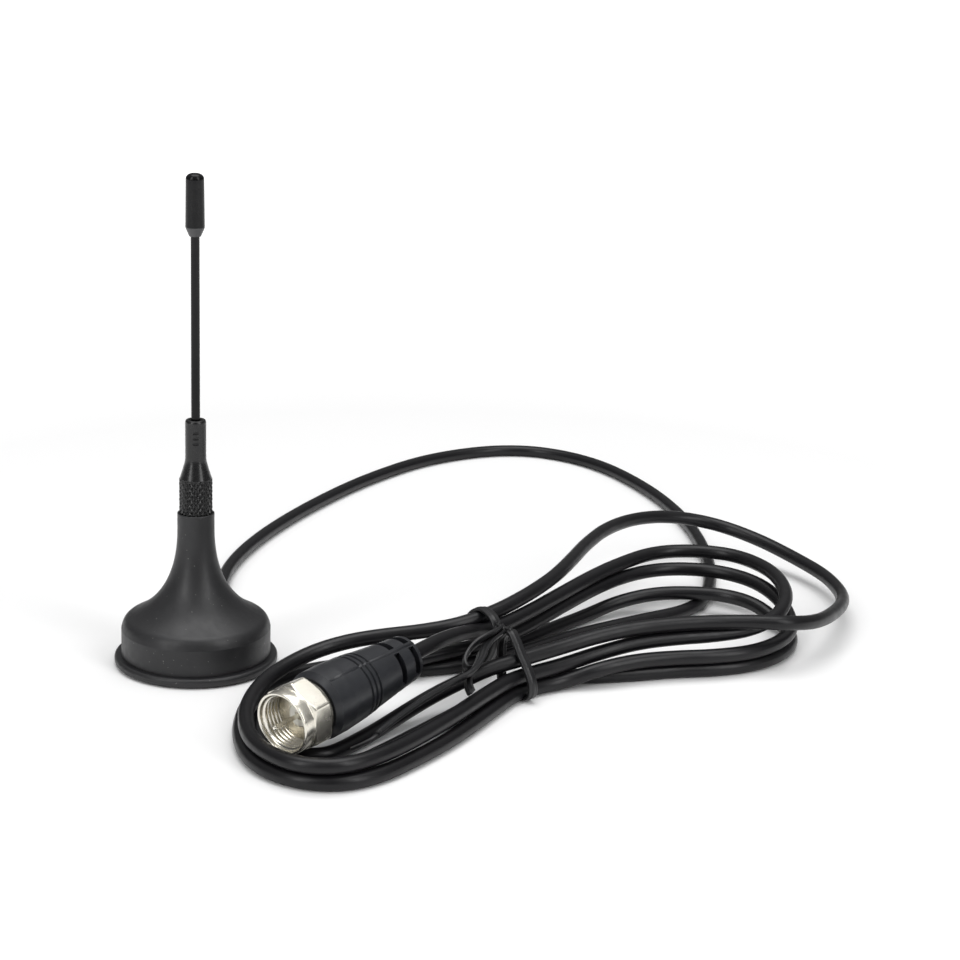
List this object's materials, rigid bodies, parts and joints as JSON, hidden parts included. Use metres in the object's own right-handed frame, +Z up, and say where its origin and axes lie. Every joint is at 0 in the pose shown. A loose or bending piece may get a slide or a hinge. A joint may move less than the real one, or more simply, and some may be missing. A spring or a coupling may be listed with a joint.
{
  "type": "miniature television antenna",
  "caption": "Small magnetic-foot television antenna: trumpet base, screw-off whip, and a coaxial lead in a tied hank with a moulded screw-on plug.",
  "frame": {"origin": "centre of the foot's underside, on the surface it stands on", "axes": "+Z up along the whip, +Y the way the lead leaves the foot"},
  "size_m": [0.1434, 0.2142, 0.0912],
  "materials": {
    "pad": "matt closed-cell pad",
    "abs_black": "fine satin moulding",
    "ferrite": "dark grey sintered ferrite",
    "steel": "plain spring steel",
    "pvc_black": "soft black PVC",
    "brass": "bright turned brass",
    "nylon": "natural nylon and polyethylene",
    "tinned": "tinned copper",
    "cable_black": "satin black PVC jacket",
    "black_metal": "black-plated brass, diamond knurl",
    "rod_black": "gloss black enamel",
    "tip_grey": "grey moulding",
    "tip_black": "gloss black moulding",
    "nickel": "nickel plate, lightly handled",
    "boot_black": "blue-black satin PVC",
    "tie_black": "plastic-coated wire tie"
  },
  "bodies": {
    "base": {"foot_pad": "pad", "base_flange": "abs_black", "magnet": "ferrite", "magnet_yoke": "steel", "base_shell": "abs_black", "cable_grommet": "pvc_black", "stud": "brass", "stud_bush": "nylon", "stud_nut": "brass", "spring_washer": "steel", "solder_lug": "tinned", "lead_inner_jacket": "cable_black", "cable_stop": "tinned", "lead_braid": "tinned", "lead_dielectric": "nylon", "lead_core": "tinned", "ground_strap": "tinned", "ground_solder": "tinned", "retaining_ring": "steel", "connector_body": "nickel", "plug_insulator": "nylon", "centre_pin": "nickel", "crimp_sleeve": "tinned", "boot_lead": "cable_black", "boot_dielectric": "nylon", "plug_boot": "boot_black", "lead_cable": "cable_black", "outer_loop": "cable_black", "plug_tail": "cable_black", "cable_hank": "cable_black", "tie_upper_loop": "tie_black", "tie_lower_loop": "tie_black", "tie_twist": "tie_black", "tie_tail": "tie_black"},
    "lift_carrier": {"contact_washer": "steel"},
    "whip": {"whip_ferrule": "black_metal", "whip_rod": "rod_black", "tip_collar": "tip_grey", "tip_cap": "tip_black"},
    "nut": {"coupling_nut": "nickel"}
  },
  "joints": [
    {"name": "whip_lift", "type": "slide", "parent": "base", "child": "lift_carrier", "axis": [0, 0, 1], "range_m": [0, 0.004]},
    {"name": "whip_turn", "type": "hinge", "parent": "lift_carrier", "child": "whip", "pos_m": [0, 0, 0.03], "axis": [0, 0, 1], "range_deg": [0, 2880]},
    {"name": "nut_turn", "type": "hinge", "parent": "base", "child": "nut", "pos_m": [0.0234, -0.04692, 0.00909], "axis": [-0.601, -0.7947, -0.0854], "continuous": true}
  ],
  "couplings": [
    {"joint": "whip_turn", "follows": "whip_lift", "rad_per_m": 12566}
  ]
}
